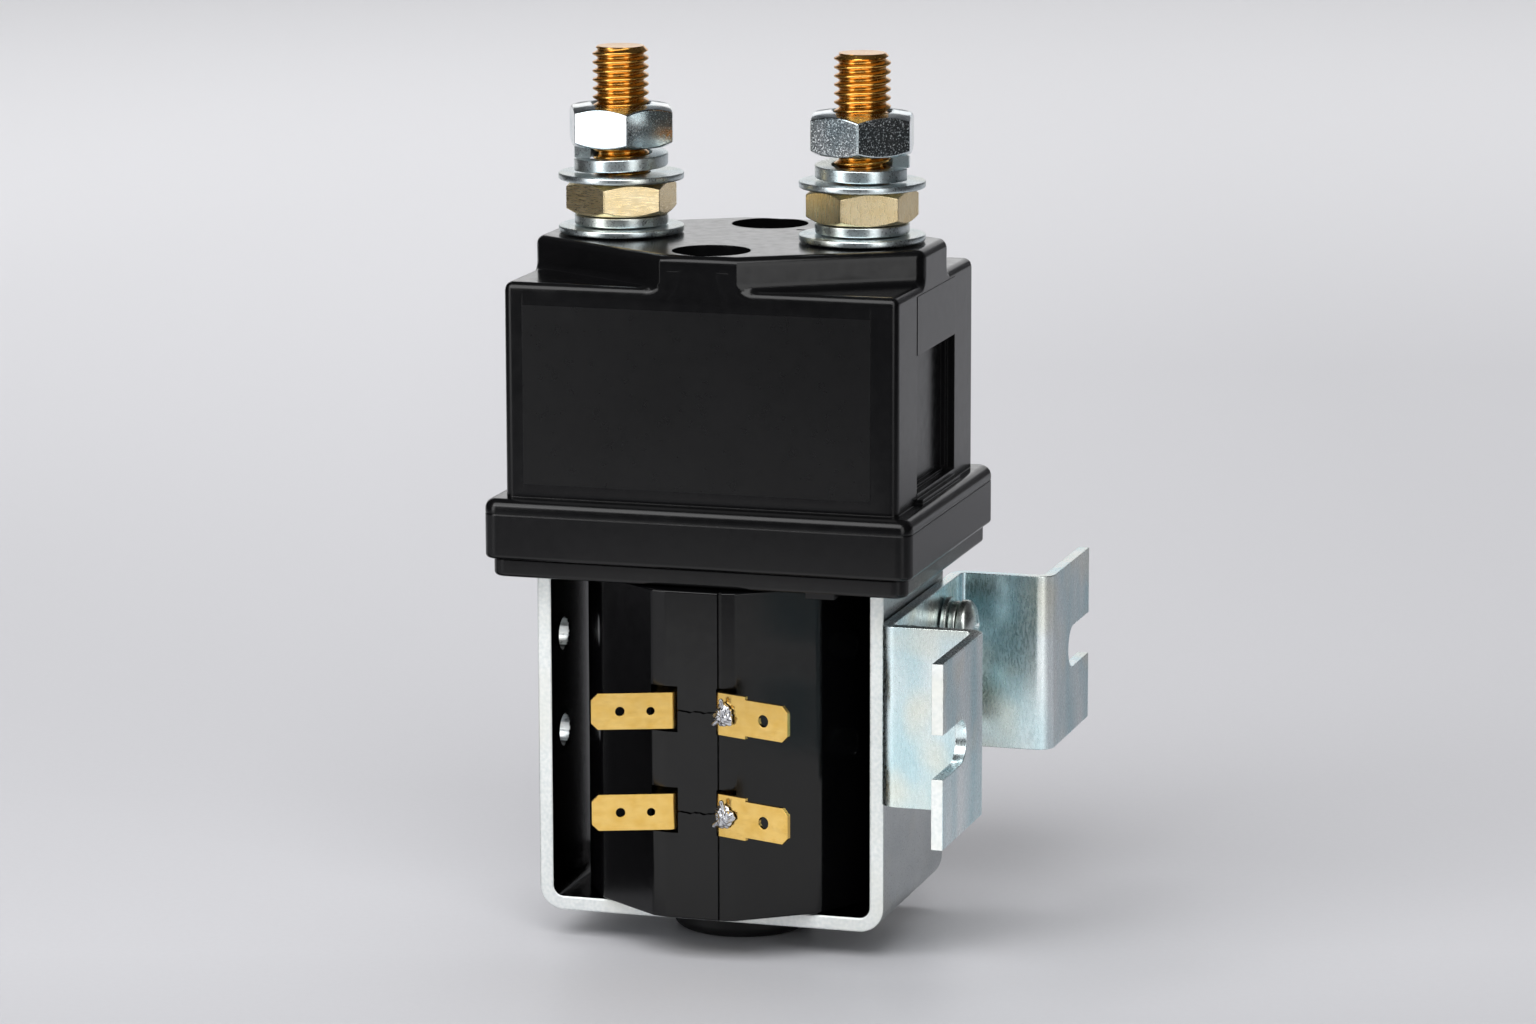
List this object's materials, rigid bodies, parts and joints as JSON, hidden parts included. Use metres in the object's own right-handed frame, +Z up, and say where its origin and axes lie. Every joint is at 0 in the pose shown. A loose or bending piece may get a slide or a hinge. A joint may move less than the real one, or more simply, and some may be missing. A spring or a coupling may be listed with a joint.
{
  "type": "high voltage dc contactor",
  "caption": "Black moulded dc contactor with threaded brass terminal studs on top, an open plated steel coil frame below with blade terminals, and a slotted side bracket.",
  "frame": {"origin": "on the plunger axis, at the flat underside of the round end cap", "axes": "+Z up along the plunger axis towards the studs, X through the two studs with the bracket on the +X side, -Y towards the coil's blade terminals"},
  "size_m": [0.0878, 0.1032, 0.1546],
  "materials": {
    "black_moulding": "satin black, fine texture",
    "coil_moulding": "glossy black",
    "cap_moulding": "matte black",
    "bobbin_nylon": "natural nylon",
    "enamelled_wire": "enamelled copper wire",
    "zinc_plate": "bright zinc plate",
    "bare_steel": "turned steel",
    "brass": "golden brass",
    "pale_brass": "pale brushed brass",
    "copper": "copper",
    "silver_tip": "silver alloy",
    "solder": "dull solder",
    "spring_steel": "drawn spring steel"
  },
  "bodies": {
    "contactor_body": {"base_moulding": "black_moulding", "base_washer_left": "zinc_plate", "base_washer_right": "zinc_plate", "bracket_screw_1": "zinc_plate", "bracket_screw_2": "zinc_plate", "bracket_screw_3": "zinc_plate", "bracket_screw_4": "zinc_plate", "bracket_spring_washer_1": "zinc_plate", "bracket_spring_washer_2": "zinc_plate", "bracket_spring_washer_3": "zinc_plate", "bracket_spring_washer_4": "zinc_plate", "bracket_washer_1": "zinc_plate", "bracket_washer_2": "zinc_plate", "bracket_washer_3": "zinc_plate", "bracket_washer_4": "zinc_plate", "brass_nut_left": "pale_brass", "brass_nut_right": "pale_brass", "coil_bobbin": "bobbin_nylon", "coil_housing": "coil_moulding", "coil_terminal_lower": "brass", "coil_terminal_upper": "brass", "coil_winding": "enamelled_wire", "contact_cover": "black_moulding", "contact_stud_left": "brass", "contact_stud_right": "brass", "cover_screw_back": "zinc_plate", "cover_screw_front": "zinc_plate", "end_cap": "cap_moulding", "guide_tube": "brass", "lower_spring_washer_left": "zinc_plate", "lower_spring_washer_right": "zinc_plate", "mounting_bracket": "zinc_plate", "pole_core": "bare_steel", "pole_plate": "zinc_plate", "return_spring": "spring_steel", "solder_joint_lower": "solder", "solder_joint_upper": "solder", "stud_tip_left": "silver_tip", "stud_tip_right": "silver_tip", "terminal_nut_left": "zinc_plate", "terminal_nut_right": "zinc_plate", "upper_spring_washer_left": "zinc_plate", "upper_spring_washer_right": "zinc_plate", "upper_washer_left": "zinc_plate", "upper_washer_right": "zinc_plate", "yoke_frame": "zinc_plate"},
    "armature": {"plunger": "bare_steel", "plunger_shaft": "bare_steel", "spring_seat": "zinc_plate", "shaft_clip": "spring_steel", "contact_spring": "spring_steel"},
    "bridge": {"moving_contact": "copper", "bridge_tip_left": "silver_tip", "bridge_tip_right": "silver_tip", "bridge_bush": "bobbin_nylon"}
  },
  "joints": [
    {"name": "plunger_slide", "type": "slide", "parent": "contactor_body", "child": "armature", "axis": [0, 0, 1], "range_m": [0, 0.004], "stiffness_N_per_m": 400, "springref_m": -0.008, "deforming": ["return_spring", "contact_spring"]},
    {"name": "bridge_slide", "type": "slide", "parent": "contactor_body", "child": "bridge", "axis": [0, 0, 1], "range_m": [0, 0.0028]}
  ],
  "couplings": [
    {"joint": "bridge_slide", "follows": "plunger_slide", "ratio": 0.7}
  ]
}
